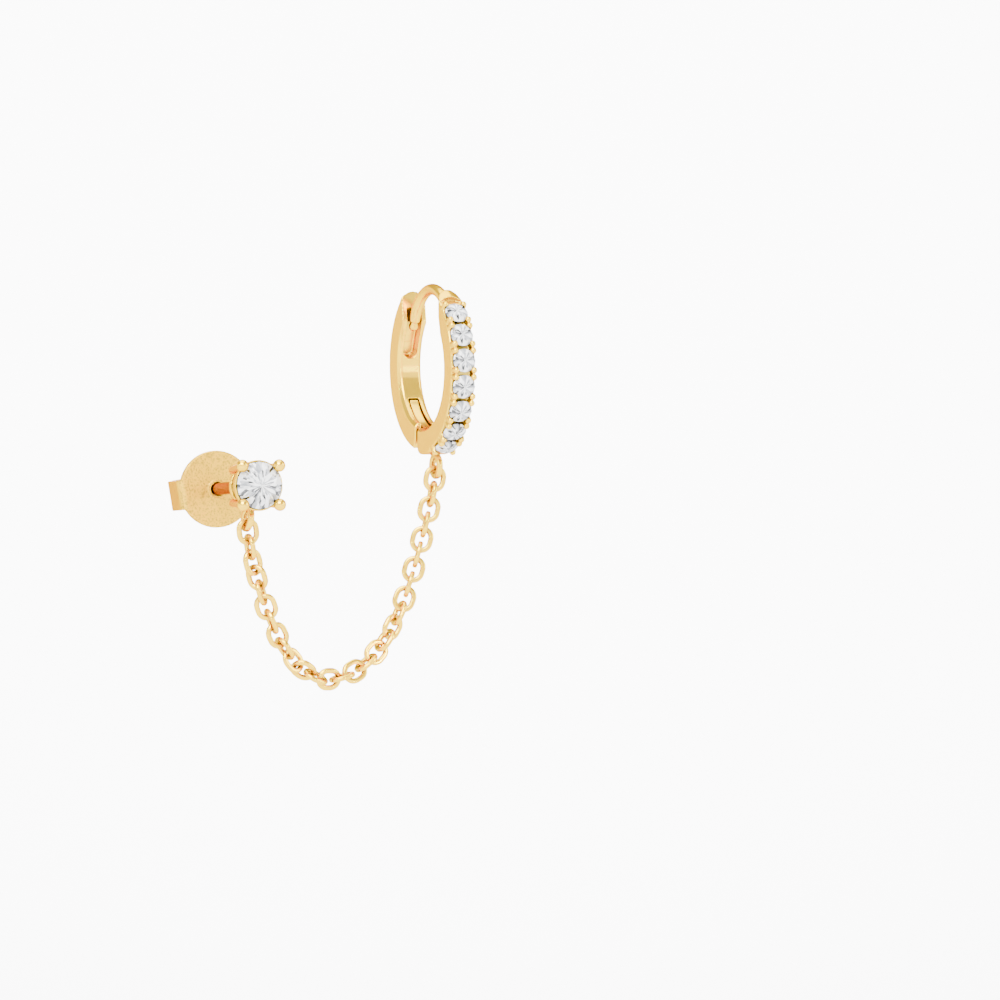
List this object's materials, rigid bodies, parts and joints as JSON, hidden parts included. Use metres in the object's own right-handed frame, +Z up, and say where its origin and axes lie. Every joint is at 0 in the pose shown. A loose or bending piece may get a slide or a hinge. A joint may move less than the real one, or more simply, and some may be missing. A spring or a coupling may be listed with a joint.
{
  "type": "ear chain earring",
  "caption": "Hinged hoop with a row of small stones, joined by a cable chain to a claw-set stud with its post and nut.",
  "frame": {"origin": "the middle of the ear wire at its highest point, where the hoop hangs in the ear", "axes": "+Z up, the hoop's stones and the stud's stone face -Y, the stud hangs on the -X side of the hoop"},
  "size_m": [0.0169, 0.0123, 0.0258],
  "materials": {
    "gold": "polished gold plate",
    "nut_gold": "gold plate, disc sand-blasted",
    "stone": "clear white, cut"
  },
  "bodies": {
    "front": {"hoop_front": "gold", "hinge_pin": "gold", "stud_setting": "gold", "stud_stone": "stone", "pave_stone_1": "stone", "pave_stone_2": "stone", "pave_stone_3": "stone", "pave_stone_4": "stone", "pave_stone_5": "stone", "pave_stone_6": "stone", "pave_stone_7": "stone", "link_01": "gold", "link_02": "gold", "link_03": "gold", "link_04": "gold", "link_05": "gold", "link_06": "gold", "link_07": "gold", "link_08": "gold", "link_09": "gold", "link_10": "gold", "link_11": "gold", "link_12": "gold", "link_13": "gold", "link_14": "gold", "link_15": "gold", "link_16": "gold", "link_17": "gold", "link_18": "gold", "link_19": "gold", "link_20": "gold", "link_21": "gold", "link_22": "gold", "link_23": "gold", "link_24": "gold", "link_25": "gold", "link_26": "gold", "link_27": "gold", "link_28": "gold", "link_29": "gold"},
    "back": {"hoop_back": "gold"},
    "nut": {"ear_nut": "nut_gold"}
  },
  "joints": [
    {"name": "hoop_hinge", "type": "hinge", "parent": "front", "child": "back", "pos_m": [0, 0.00173, -0.00948], "axis": [-1, 0, 0], "range_deg": [0, 60]},
    {"name": "nut_slide", "type": "slide", "parent": "front", "child": "nut", "axis": [0, 0.9986, -0.0523], "range_m": [-0.0045, 0.0042]}
  ]
}
